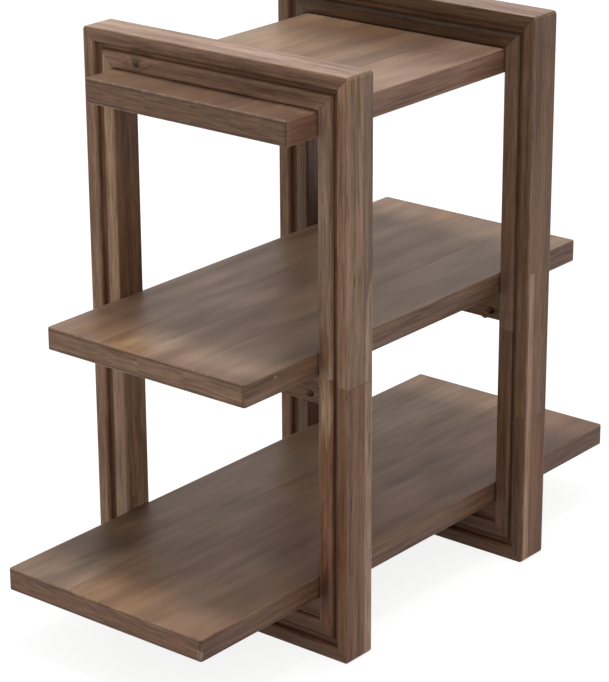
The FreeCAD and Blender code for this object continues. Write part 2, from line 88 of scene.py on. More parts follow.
class Recipe:
    """The nodes of one material, or of the world, from an empty tree on."""

    def __init__(self, owner: Material | bpy.types.World) -> None:
        """Empties the tree.

        Args:
            owner: The new material or world.
        """
        owner.use_nodes = True
        self.owner = owner
        self.tree = owner.node_tree
        self.tree.nodes.clear()

    def add(self, kind: str, inputs: dict[int | str, Socket | float | tuple] | None = None,
            output: int | str = 0, **settings: str | bool) -> Socket | None:
        """Adds one node with its settings and links.

        Args:
            kind: Blender's name for the node type.
            inputs: What each input gets, by its name or place: a socket to link, or a value.
            output: The name or place of the output that is wanted.
            **settings: Properties of the node itself.

        Returns:
            The wanted output socket, or None where the node ends the tree.
        """
        node = self.tree.nodes.new(kind)
        for name, value in settings.items():
            setattr(node, name, value)
        for key, value in (inputs or {}).items():
            if isinstance(value, Socket):
                self.tree.links.new(value, node.inputs[key])
            else:
                node.inputs[key].default_value = value
        return node.outputs[output] if node.outputs else None


class Grain(Enum):
    """The way a board's grain runs, as the turn that lays it along X."""

    LENGTHWISE = (0.0, 0.0, 0.0)
    CROSSWISE = (0.0, 0.0, -math.pi / 2)
    UPRIGHT = (0.0, math.pi / 2, 0.0)


@dataclass(frozen=True)
class Strip:
    """One length of wood in a glued-up board, with its own stain and its own grain.

    It fills the span that is given along each axis, in millimetres. Its joint says how
    strong the glue line round it shows.
    """

    stain: str
    seed: float
    joint: float = 1.0
    x: Span = (-FAR, FAR)
    y: Span = (-FAR, FAR)
    z: Span = (-FAR, FAR)


@dataclass(frozen=True)
class Mark:
    """A knot, a tongue of sapwood, a vein, a surface check, a patch that took more or less stain, or a
    patch of painted shade.

    Its reach is half its size each way, in millimetres. It has its full depth within its core,
    a share of its reach. The grain flows round it by its flow, in millimetres.
    """

    centre: Triple
    reach: Triple
    stain: str
    depth: float = 0.7
    core: float = 0.3
    flow: float = 0.0


@dataclass(frozen=True)
class Figure:
    """How lively the wood is.

    Each layer of noise has its turns in a millimetre along the grain and across it, how many
    finer layers it holds, and its strength. Then come the strength of the growth rings, how
    dark the pores are, and how far the edges of marks fray along the grain.
    """

    layers: tuple[tuple[float, float, float, float], ...]
    rings: float
    pores: float
    fray: float


# Tops: planed and sanded smooth, so broad soft bands about 15 mm wide and hardly any fibre.
# Real fibres are far finer than a pixel, so each figure draws them near 1 mm.
SMOOTH_FACE = Figure(((0.012, 0.05, 1.5, 1.7), (0.035, 0.4, 1.0, 0.45), (0.008, 0.022, 1.0, 1.5)),
                     rings=0.08, pores=0.06, fray=0.18)
# Moulded members: streaks some 50 to 100 mm long and 4 mm wide, over open fibres
OPEN_FACE = Figure(((0.012, 0.24, 4.0, 2.9), (0.035, 0.65, 2.0, 3.3), (0.005, 0.04, 1.0, 1.6)),
                   rings=0.25, pores=0.35, fray=0.35)
# Sawn and lightly sanded narrow faces of the shelves: long dark and light lines
NARROW_FACE = Figure(((0.009, 0.24, 4.0, 3.8), (0.03, 0.95, 2.0, 3.2), (0.008, 0.05, 1.0, 2.4)),
                     rings=0.15, pores=0.45, fray=0.35)
# End grain, where the saw left lines across the board and the open ends drank the stain
END_GRAIN = ((0.03, 0.022, 0.4), (0.03, 0.05, 0.9))


@dataclass(frozen=True)
class StainedAcacia:
    """Acacia glued up from staves, stained grey-brown and rubbed under satin lacquer.

    To the eye that is a taupe board with long dark and light streaks, joints where one stave
    ends and the next begins, arrises rubbed paler, and a soft sheen at a low angle. A board
    with a side stain has narrow faces of their own tone and a livelier figure.
    """

    name: str
    grain: Grain
    low: Triple
    high: Triple
    stain: str
    seed: float
    figure: Figure = OPEN_FACE
    strips: tuple[Strip, ...] = ()
    marks: tuple[Mark, ...] = ()
    side_stain: str = ""
    mitred: bool = False

    def make(self) -> Material:
        """Builds the material."""
        return AcaciaRecipe(self).build()


class AcaciaRecipe(Recipe):
    """The nodes of one acacia board, laid layer on layer as its real finish is.

    Each step reads the sockets that the steps before it left here, and leaves its own: place,
    the point in millimetres; end and side, one on end grain and on upright faces; colour;
    joint, how near a glue joint the point is; seed and grain, the strip's start and the point
    in the log, X along the grain; ragged, streaky noise; bend, how far knots push the grain
    aside; figure, about minus one in dark wood and one in light; and pores.
    """

    # Growth rings, in millimetres apart, and half the drawn widths of glue and mitre lines.
    # Real lines are about 0.1 mm wide. They are drawn near 0.7 mm, so that they show.
    RING_GAP = 9.0
    GLUE_LINE = 0.35
    MITRE_LINE = 0.45
    # Noise, as turns in a millimetre along the grain and across it. Real pores are about
    # 0.2 mm wide. They are drawn near 0.6 mm, so that they show.
    RAGGED = (0.03, 0.3, 0.3)
    CAST = (0.006, 0.06, 0.06)
    PORES = (0.09, 1.6, 1.6)
    # How far apart in the log two strips lie whose seeds differ by one, in millimetres
    STRIDE = (311.0, 19.0, 11.0)
    # How far the figure, the pores and the joints stand out or in, in millimetres
    RELIEF = (0.04, -0.05, -0.10)
    # Satin lacquer rubbed thin: dull in dark wood, brighter in light, and less gloss than a
    # full coat gives
    ROUGHNESS = (0.48, 0.36)
    IOR = 1.3

    def __init__(self, wood: StainedAcacia) -> None:
        """Starts the board's material.

        Args:
            wood: The board's own wood and stain.
        """
        super().__init__(bpy.data.materials.new(wood.name))
        self.wood = wood

    def build(self) -> Material:
        """Lays all the layers in order.

        Returns:
            The finished material.
        """
        self.find_faces()
        self.lay_strips()
        self.lay_grain()
        self.tone_faces()
        self.lay_marks()
        self.draw_figure()
        self.draw_joints()
        self.stain_wood()
        self.rub_arrises()
        self.lacquer()
        return self.owner

    def find_faces(self) -> None:
        """Finds the point, end grain, and the narrow upright faces of a level board."""
        where = self.add("ShaderNodeTexCoord", output="Object")
        facing = where.node.outputs["Normal"]
        self.place = self.add(VECTOR, {0: where, "Scale": PER_METRE}, operation="SCALE")
        turned = self.add("ShaderNodeMapping", {"Vector": facing, "Rotation": self.wood.grain.value})
        faces = []
        for way, axis, none, full in ((turned, "X", 0.6, 0.9), (facing, "Z", 0.8, 0.5)):
            along = self.add(SPLIT, {0: way}, output=axis)
            along = self.add(MATH, {0: along}, operation="ABSOLUTE")
            faces.append(self.add(RANGE, {0: along, 1: none, 2: full}))
        self.end, self.side = faces

    def lay_strips(self) -> None:
        """Lays the strips of the board over its ground stain."""
        self.colour = self.add("ShaderNodeRGB")
        self.colour.default_value = linear(self.wood.stain)
        self.seed = self.add("ShaderNodeValue")
        self.seed.default_value = self.wood.seed
        self.joint = self.add(MATH, {0: 0.0, 1: 0.0}, operation="ADD")
        for strip in self.wood.strips:
            inside = self.depth_in_box(*zip(strip.x, strip.y, strip.z))
            parts = self.add(SPLIT, {0: inside}).node.outputs
            least = self.add(MATH, {0: parts[0], 1: parts[1]}, operation="MINIMUM")
            least = self.add(MATH, {0: least, 1: parts[2]}, operation="MINIMUM")
            mask = self.add(RANGE, {0: least, 1: 0.0, 2: 0.3})
            stained = {FACTOR: mask, FIRST: self.colour, SECOND: linear(strip.stain)}
            self.colour = self.add(MIX, stained, **COLOURS)
            self.seed = self.add(MIX, {0: mask, 2: self.seed, 3: strip.seed}, data_type="FLOAT")
            line = self.add(MATH, {0: least, 1: self.GLUE_LINE, 2: self.GLUE_LINE}, operation="COMPARE")
            self.joint = self.add(MATH, {0: line, 1: strip.joint, 2: self.joint},
                                  operation="MULTIPLY_ADD")

    def depth_in_box(self, low: Triple, high: Triple) -> Socket:
        """Measures how deep the point is in a box along each axis, negative outside it.

        Args:
            low: The box's lowest corner.
            high: The box's highest corner.

        Returns:
            The three depths, as a vector.
        """
        centre = [(a + b) / 2 for a, b in zip(low, high)]
        half = [(b - a) / 2 for a, b in zip(low, high)]
        away = self.add(VECTOR, {0: self.place, 1: centre}, operation="SUBTRACT")
        away = self.add(VECTOR, {0: away}, operation="ABSOLUTE")
        return self.add(VECTOR, {0: half, 1: away}, operation="SUBTRACT")

    def lay_grain(self) -> None:
        """Turns the point along the grain, starts each strip elsewhere in the log, and frays edges."""
        turned = {"Vector": self.place, "Rotation": self.wood.grain.value}
        turned = self.add("ShaderNodeMapping", turned)
        self.grain = self.add(VECTOR, {0: self.seed, 1: self.STRIDE, 2: turned},
                              operation="MULTIPLY_ADD")
        self.ragged = self.draw_noise(self.grain, self.RAGGED, 3.0, 3.0)

    def draw_noise(self, place: Socket, stretch: Triple, detail: float, gain: float) -> Socket:
        """Draws noise about nought, stretched along the grain.

        Args:
            place: The point in the log.
            stretch: Turns of the noise in each millimetre, along the grain and across it.
            detail: How many finer layers it has.
            gain: How strong it is.

        Returns:
            The noise.
        """
        drawn = self.add(VECTOR, {0: place, 1: stretch}, operation="MULTIPLY")
        noise = self.add(NOISE, {"Vector": drawn, "Scale": 1.0, "Detail": detail, "Roughness": 0.6})
        return self.add(MATH, {0: noise, 1: gain, 2: -gain / 2}, operation="MULTIPLY_ADD")

    def tone_faces(self) -> None:
        """Gives the narrow faces of a shelf their tone, and lets end grain lose its stave's."""
        if self.wood.side_stain:
            side = {FACTOR: self.side, FIRST: self.colour, SECOND: linear(self.wood.side_stain)}
            self.colour = self.add(MIX, side, **COLOURS)
        even = self.add(MATH, {0: self.end, 1: 0.85}, operation="MULTIPLY")
        ends = {FACTOR: even, FIRST: self.colour, SECOND: linear(self.wood.stain)}
        self.colour = self.add(MIX, ends, **COLOURS)

    def lay_marks(self) -> None:
        """Sets the knots, veins and patches of the board, with edges that fray along the grain."""
        self.bend = self.add(MATH, {0: 0.0, 1: 0.0}, operation="ADD")
        for mark in self.wood.marks:
            away = self.add(VECTOR, {0: self.place, 1: mark.centre}, operation="SUBTRACT")
            away = self.add(VECTOR, {0: away, 1: mark.reach}, operation="DIVIDE")
            far = self.add(VECTOR, {0: away}, output="Value", operation="LENGTH")
            frayed = {0: self.ragged, 1: self.wood.figure.fray, 2: far}
            frayed = self.add(MATH, frayed, operation="MULTIPLY_ADD")
            spot = self.add(RANGE, {0: frayed, 1: mark.core, 2: 1.0, 3: mark.depth, 4: 0.0},
                            interpolation_type="SMOOTHSTEP")
            marked = {FACTOR: spot, FIRST: self.colour, SECOND: linear(mark.stain)}
            self.colour = self.add(MIX, marked, **COLOURS)
            if mark.flow:
                push = self.add(RANGE, {0: far, 1: 0.0, 2: 3.0, 3: mark.flow, 4: 0.0},
                                interpolation_type="SMOOTHSTEP")
                self.bend = self.add(MATH, {0: self.bend, 1: push}, operation="ADD")

    def draw_figure(self) -> None:
        """Draws growth rings, streaks and fibres, and the open pores of acacia."""
        aside = {0: self.bend, 1: (0.0, 1.0, 1.0), 2: self.grain}
        pushed = self.add(VECTOR, aside, operation="MULTIPLY_ADD")
        in_log = self.add(VECTOR, {0: pushed, 1: (0.06, 1.0, 1.0)}, operation="MULTIPLY")
        # The wave node has 20 / tau rings to a unit
        rings = self.add("ShaderNodeTexWave",
                         {"Vector": in_log, "Scale": math.tau / 20 / self.RING_GAP, "Distortion": 14.0,
                          "Detail": 2.0, "Detail Scale": 0.05, "Detail Roughness": 0.6},
                         output="Fac", wave_type="RINGS", rings_direction="X")
        figure = self.draw_layers(pushed, rings, self.wood.figure)
        if self.wood.side_stain:
            narrow = self.draw_layers(pushed, rings, NARROW_FACE)
            figure = self.add(MIX, {0: self.side, 2: figure, 3: narrow}, data_type="FLOAT")
        across = [self.draw_noise(self.grain, stretch, 3.0, 3.4) for stretch in END_GRAIN]
        across = self.add(MATH, {0: across[0], 1: across[1]}, operation="ADD")
        self.figure = self.add(MIX, {0: self.end, 2: figure, 3: across}, data_type="FLOAT")
        pores = self.draw_noise(pushed, self.PORES, 1.0, 1.0)
        self.pores = self.add(RANGE, {0: pores, 1: 0.12, 2: 0.22})

    def draw_layers(self, place: Socket, rings: Socket, figure: Figure) -> Socket:
        """Adds the layers of a figure together.

        Args:
            place: The point in the log.
            rings: The growth rings.
            figure: How lively the wood is.

        Returns:
            The sum, about nought.
        """
        total = {0: rings, 1: 2 * figure.rings, 2: -figure.rings}
        total = self.add(MATH, total, operation="MULTIPLY_ADD")
        for along, across, detail, gain in figure.layers:
            noise = self.draw_noise(place, (along, across, across), detail, gain)
            total = self.add(MATH, {0: total, 1: noise}, operation="ADD")
        return total

    def draw_joints(self) -> None:
        """Weakens the glue joints on end grain, and adds the mitre line of a frame member."""
        shown = self.add(RANGE, {0: self.end, 3: 1.0, 4: 0.25})
        self.joint = self.add(MATH, {0: self.joint, 1: shown}, operation="MULTIPLY")
        if self.wood.mitred:
            away = self.add(VECTOR, {0: self.place, 1: FRAME_MIDDLE}, operation="SUBTRACT")
            away = self.add(VECTOR, {0: away}, operation="ABSOLUTE")
            parts = self.add(SPLIT, {0: away}).node.outputs
            lean = self.add(MATH, {0: parts[2], 1: parts[1]}, operation="SUBTRACT")
            line = self.add(MATH, {0: lean, 1: MITRE_LEAN, 2: self.MITRE_LINE}, operation="COMPARE")
            self.joint = self.add(MATH, {0: self.joint, 1: line}, operation="MAXIMUM")

    def stain_wood(self) -> None:
        """Colours the wood: a warm cast in places, light and dark by the figure, pores, joints."""
        cast = self.draw_noise(self.grain, self.CAST, 2.0, 1.0)
        cast = self.add(RANGE, {0: cast, 1: -0.1, 2: 0.2, 3: 0.0, 4: 0.22})
        warm = self.add(MIX, {FACTOR: cast, FIRST: self.colour, SECOND: linear("#84603f")}, **COLOURS)
        light = self.add(MATH, {0: self.figure, 1: 0.5, 2: 0.5}, operation="MULTIPLY_ADD",
                         use_clamp=True)
        # The darkest wood keeps about half the light, and a little more of the red
        tint = self.add(VECTOR, {0: light, 1: (0.90, 1.00, 1.06), 2: (0.55, 0.50, 0.47)},
                        operation="MULTIPLY_ADD")
        self.colour = self.add(VECTOR, {0: warm, 1: tint}, operation="MULTIPLY")
        for mask, share, dark in ((self.pores, self.wood.figure.pores, "#35231a"),
                                  (self.joint, 0.45, "#2b1c15")):
            amount = self.add(MATH, {0: mask, 1: share}, operation="MULTIPLY", use_clamp=True)
            darkened = {FACTOR: amount, FIRST: self.colour, SECOND: linear(dark)}
            self.colour = self.add(MIX, darkened, **COLOURS)

    def rub_arrises(self) -> None:
        """Darkens a line from 1.4 to 3 mm in from the arrises of end grain, and rubs the arrises
        themselves paler.
        """
        inside = self.depth_in_box(self.wood.low, self.wood.high)
        parts = self.add(SPLIT, {0: inside}).node.outputs
        total = self.add(VECTOR, {0: inside, 1: (1.0, 1.0, 1.0)}, output="Value",
                         operation="DOT_PRODUCT")
        most = self.add(MATH, {0: parts[0], 1: parts[1]}, operation="MAXIMUM")
        most = self.add(MATH, {0: most, 1: parts[2]}, operation="MAXIMUM")
        # The two least depths added up: nought on an arris
        edge = self.add(MATH, {0: total, 1: most}, operation="SUBTRACT")
        rim = self.add(MATH, {0: edge, 1: 2.2, 2: 0.8}, operation="COMPARE")
        for share in (self.end, 0.45):
            rim = self.add(MATH, {0: rim, 1: share}, operation="MULTIPLY")
        rimmed = self.add(MIX, {FACTOR: rim, FIRST: self.colour, SECOND: linear("#3a281e")}, **COLOURS)
        broken = self.add(MATH, {0: self.ragged, 1: 1.2, 2: edge}, operation="MULTIPLY_ADD")
        worn = self.add(RANGE, {0: broken, 1: 0.2, 2: 1.4, 3: 0.32, 4: 0.0})
        self.colour = self.add(MIX, {FACTOR: worn, FIRST: rimmed, SECOND: linear("#b3957f")}, **COLOURS)

    def lacquer(self) -> None:
        """Lays the satin lacquer over the wood's relief, and ends the material."""
        dull, bright = self.ROUGHNESS
        rough = self.add(RANGE, {0: self.figure, 1: -1.0, 2: 1.0, 3: dull, 4: bright})
        relief = 0.0
        for layer, height in zip((self.figure, self.pores, self.joint), self.RELIEF):
            relief = self.add(MATH, {0: layer, 1: height, 2: relief}, operation="MULTIPLY_ADD")
        bump = self.add("ShaderNodeBump", {"Strength": 0.6, "Distance": MM, "Height": relief})
        shader = self.add("ShaderNodeBsdfPrincipled", {
            "Base Color": self.colour, "Roughness": rough, "Normal": bump, "IOR": self.IOR})
        self.add("ShaderNodeOutputMaterial", {"Surface": shader})


@dataclass(frozen=True)
class Flecked:
    """A finish of two tones in fine flecks, which are duller and stand out a little.

    The flecks have their turns in a metre along each axis, and their relief has a strength and
    a height in metres. The roughness is the ground's and the flecks'.
    """

    name: str
    ground: str
    fleck: str
    turns: Triple
    relief: Span
    roughness: Span
    metallic: float = 0.0

    def make(self) -> Material:
        """Builds the material.

        Returns:
            The finished material.
        """
        coat = Recipe(bpy.data.materials.new(self.name))
        where = coat.add("ShaderNodeTexCoord", output="Object")
        drawn = coat.add(VECTOR, {0: where, 1: self.turns}, operation="MULTIPLY")
        fleck = coat.add(NOISE, {"Vector": drawn, "Scale": 1.0, "Detail": 3.0})
        tones = {FACTOR: fleck, FIRST: linear(self.ground), SECOND: linear(self.fleck)}
        colour = coat.add(MIX, tones, **COLOURS)
        strength, height = self.relief
        bump = coat.add("ShaderNodeBump", {"Strength": strength, "Distance": height, "Height": fleck})
        even, dull = self.roughness
        rough = coat.add(RANGE, {0: fleck, 3: even, 4: dull})
        shader = coat.add("ShaderNodeBsdfPrincipled", {
            "Base Color": colour, "Roughness": rough, "Normal": bump, "Metallic": self.metallic})
        coat.add("ShaderNodeOutputMaterial", {"Surface": shader})
        return coat.owner


# Planed beech without finish, for the loose tenons: pale, close and a little flecked, with
# flecks about 1 mm across the grain and 17 mm along it
BARE_BEECH = Flecked("planed_beech", "#b98f63", "#d9b48a", (900.0, 60.0, 60.0),
                     (0.4, 0.1 * MM), (0.55, 0.7))
# Carbon steel with a black phosphate coat: dull grey-black, a little brighter where handled.
# The coat's crystals are microns wide. They are drawn near 0.5 mm, so that they show.
BLACK_PHOSPHATE = Flecked("black_phosphated_steel", "#2a2522", "#4a423d", (1800.0, 1800.0, 1800.0),
                          (0.3, 0.05 * MM), (0.42, 0.6), metallic=0.6)


def node_box(name: str) -> tuple[Triple, Triple]:
    """Reads a CAD node's box in millimetres.

    Args:
        name: The node's name.

    Returns:
        Its lowest and highest corners.
    """
    low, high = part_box(name)
    return tuple(value / MM for value in low), tuple(value / MM for value in high)


def dress(name: str, material: Material) -> None:
    """Gives a CAD node its finish.

    Args:
        name: The node's name.
        material: The finish.
    """
    piece = frame["nodes"][name]
    for slot in piece.material_slots:
        slot.material = material
    LOG.info("dressed %s in %s", name, material.name)


def pick(*pieces: Piece) -> None:
    """Selects these pieces and nothing else, and makes the last one active.

    Args:
        *pieces: The pieces, or none before a new one is added.
    """
    bpy.ops.object.select_all(action="DESELECT")
    for piece in pieces:
        piece.select_set(True)
        bpy.context.view_layer.objects.active = piece


@dataclass(frozen=True)
class Shelves:
    """The three solid shelves, each glued up from four staves laid along its length."""

    tan: str = "#947052"

    def dress(self) -> None:
        """Gives each shelf its staves, knots and finish."""
        self.finish("bottom_shelf", "#70513e", "#614537", 1.0, (
            (40, "#7b624f", 2.3, 0.3), (-2, "#7a5e48", 5.1, 0.1),
            (-45, "#765945", 7.7, 0.1), (-FAR, "#795a46", 9.2, 0.3),
        ), (
            Mark((-304, 19, 74), (66, 22, 4), self.tan, 0.7, 0.4),
            Mark((-304, -23, 74), (116, 22, 4), self.tan, 0.65, 0.6),
            Mark((-304, -66, 74), (112, 56, 4), "#886a54", 0.8, 0.6),
            # Painted shade: the next three dark patches deepen the shade on the shelf near the near
            # frame
            Mark((-204, 76, 74), (52, 40, 4), "#3f2c22", 0.72, 0.2),
            Mark((-152, 108, 74), (50, 26, 4), "#3f2c22", 0.6, 0.2),
            Mark((-124, -60, 74), (56, 36, 4), "#3f2c22", 0.4, 0.2),
            Mark((-272, 63, 74), (46, 10, 4), "#5f5048", 0.6),
            Mark((-304, 66, 74), (44, 18, 4), "#6a5242", 0.6, 0.3),
            Mark((196, 60, 74), (84, 38, 4), "#957b66", 0.65, 0.3),
            Mark((-304, -113, 60), (4, 5, 11), "#a08d7e", 0.7, 0.3),
            Mark((-280, -113, 66), (90, 5, 5), "#4f372b", 0.5, 0.3),
        ))
        self.finish("middle_shelf", "#80634e", "#674d3f", 2.0, (
            (50, "#846955", 1.4, 0.15), (6, "#80654f", 4.4, 0.15),
            (-46, "#846852", 6.9, 0.35), (-FAR, "#846b58", 8.1, 0.35),
        ), (
            Mark((-226, 70, 284), (50, 34, 4), "#664a34", 0.65, 0.3),
            Mark((-190, -36, 284), (56, 110, 4), "#977b67", 0.45, 0.1),
            Mark((-208, 12, 284), (42, 28, 4), "#a68b76", 0.6, 0.2),
            Mark((-240, 22, 284), (34, 32, 4), "#93714f", 0.7, 0.3),
            Mark((-224, 41, 284), (13, 4, 4), "#7c5434", 0.7, 0.1, 5.0),
            Mark((-207, 33, 284), (10, 3, 4), "#7c5434", 0.5, 0.1),
            Mark((-223, 28, 284), (24, 8, 4), "#a58964", 0.45, 0.2),
            Mark((-244, -113, 284), (36, 44, 4), "#5d4739", 0.65, 0.2),
            # Painted shade: a dark patch that deepens the shade near the shelf's front
            Mark((-150, -104, 284), (46, 44, 4), "#443229", 0.4, 0.2),
            Mark((-252, -64, 284), (32, 60, 4), "#75594a", 0.7, 0.4),
            Mark((-70, 62, 284), (72, 90, 4), "#a0846d", 0.7, 0.3),
            Mark((244, -18, 284), (70, 34, 4), "#6a5140", 0.8, 0.3),
            Mark((228, 30, 284), (26, 14, 4), "#95714f", 0.6, 0.2, 4.0),
            Mark((-204, -113, 279.4), (3.4, 5, 1.7), "#b0967f", 0.85, 0.2),
        ))
        self.finish("top_shelf", "#6b503d", "#7b5b4c", 3.0, (
            (43, "#866b54", 3.3, 0.3), (-8, "#80644b", 6.1, 0.3),
            (-51, "#7a614f", 7.2, 0.4), (-FAR, "#8f7260", 9.9, 1.0),
        ), (
            Mark((-186, 0, 496), (50, 150, 4), "#6c5445", 0.95, 0.8),
            Mark((78, 0, 496), (70, 220, 4), "#5a4336", 0.8, 0.1),
            Mark((46, -36, 496), (80, 13, 4), "#5c4a40", 0.6, 0.1),
            Mark((30, -78, 496), (70, 15, 4), "#694f40", 0.6, 0.2),
            Mark((45, 42, 496), (60, 3, 4), "#6a4c38", 0.5, 0.1),
            Mark((-186, -113, 485), (40, 6, 40), "#5f4030", 0.5, 0.6),
        ))

    def finish(self, name: str, stain: str, side_stain: str, seed: float,
               staves: tuple[tuple[float, str, float, float], ...], marks: tuple[Mark, ...]) -> None:
        """Finishes one shelf.

        Args:
            name: The shelf.
            stain: Its ground stain.
            side_stain: The stain of its narrow faces.
            seed: Where its grain starts.
            staves: From the back on, each stave's front edge, stain, seed and joint.
            marks: What else shows on it.
        """
        strips, back = [], FAR
        for front, tone, start, joint in staves:
            strips.append(Strip(tone, start, joint, y=(front, back)))
            back = front
        dress(name, StainedAcacia(f"{name}_acacia", Grain.LENGTHWISE, *node_box(name), stain, seed,
                                  SMOOTH_FACE, tuple(strips), marks, side_stain).make())


# Places on the frames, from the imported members
NEAR_FACE = node_box("left_frame_front_post")[0][0]
FAR_FACE = node_box("right_frame_front_post")[0][0]
FRAME_HALF_WIDTH = node_box("left_frame_back_post")[1][1]
FRAME_HEIGHT = node_box("left_frame_top_rail")[1][2]
BACK_OPENING = node_box("left_frame_back_post")[0][1]
FRAME_MIDDLE = (0.0, 0.0, FRAME_HEIGHT / 2)
MITRE_LEAN = FRAME_HEIGHT / 2 - FRAME_HALF_WIDTH

# How deep the tone of one face alone reaches: a stain on the side faces, painted light on the top faces
# of the top rails, and painted shade on the inner faces of the back posts
FACE_DEPTH = 0.8
# The moulded section, across a member from the outside of the frame inwards
GROOVE = (13.05, 16.9)
# Painted shade: a dark line along the foot of the band, at the bottom of the groove
GROOVE_SHADE_LINE = (16.9, 18.9)
BAND_START = 18.5


@dataclass(frozen=True)
class Member:
    """The wood of one frame member: its stain, the band's stain, the groove's darker stain with painted
    shade in it, a painted shade line at the band's foot, and what else shows on it.
    """

    name: str
    stain: str
    band: str
    groove_stain_and_shade: str = "#6e4d38"
    # Painted shade along the foot of the band
    line: str = "#69442b"
    strips: tuple[Strip, ...] = ()
    marks: tuple[Mark, ...] = ()

    def section_strip(self, reach: tuple[float, float], stain: str, seed: float, joint: float) -> Strip:
        """Makes the strip that covers part of the moulded section.

        Args:
            reach: Where it starts and ends, inwards from the outside of the frame.
            stain: Its stain.
            seed: Its seed.
            joint: How strong its joint line is.

        Returns:
            The strip.
        """
        outer, inner = reach
        if self.name.endswith("front_post"):
            return Strip(stain, seed, joint, y=(outer - FRAME_HALF_WIDTH, inner - FRAME_HALF_WIDTH))
        if self.name.endswith("back_post"):
            return Strip(stain, seed, joint, y=(FRAME_HALF_WIDTH - inner, FRAME_HALF_WIDTH - outer))
        if self.name.endswith("top_rail"):
            return Strip(stain, seed, joint, z=(FRAME_HEIGHT - inner, FRAME_HEIGHT - outer))
        return Strip(stain, seed, joint, z=(outer, inner))

    def make(self, seed: float) -> Material:
        """Builds the member's material.

        Args:
            seed: Where its grain starts.

        Returns:
            The finished material.
        """
        band = self.section_strip((BAND_START, FAR), self.band, seed + 0.7, 0.0)
        # The groove's darker stain, with painted shade in it, and the painted shade line
        groove_stain_and_shade = (self.section_strip(GROOVE, self.groove_stain_and_shade, seed, 0.0),
                  self.section_strip(GROOVE_SHADE_LINE, self.line, seed, 0.0))
        grain = Grain.UPRIGHT if self.name.endswith("post") else Grain.CROSSWISE
        return StainedAcacia(f"{self.name}_acacia", grain, *node_box(self.name), self.stain, seed,
                             strips=(band, *self.strips, *groove_stain_and_shade), marks=self.marks, mitred=True).make()


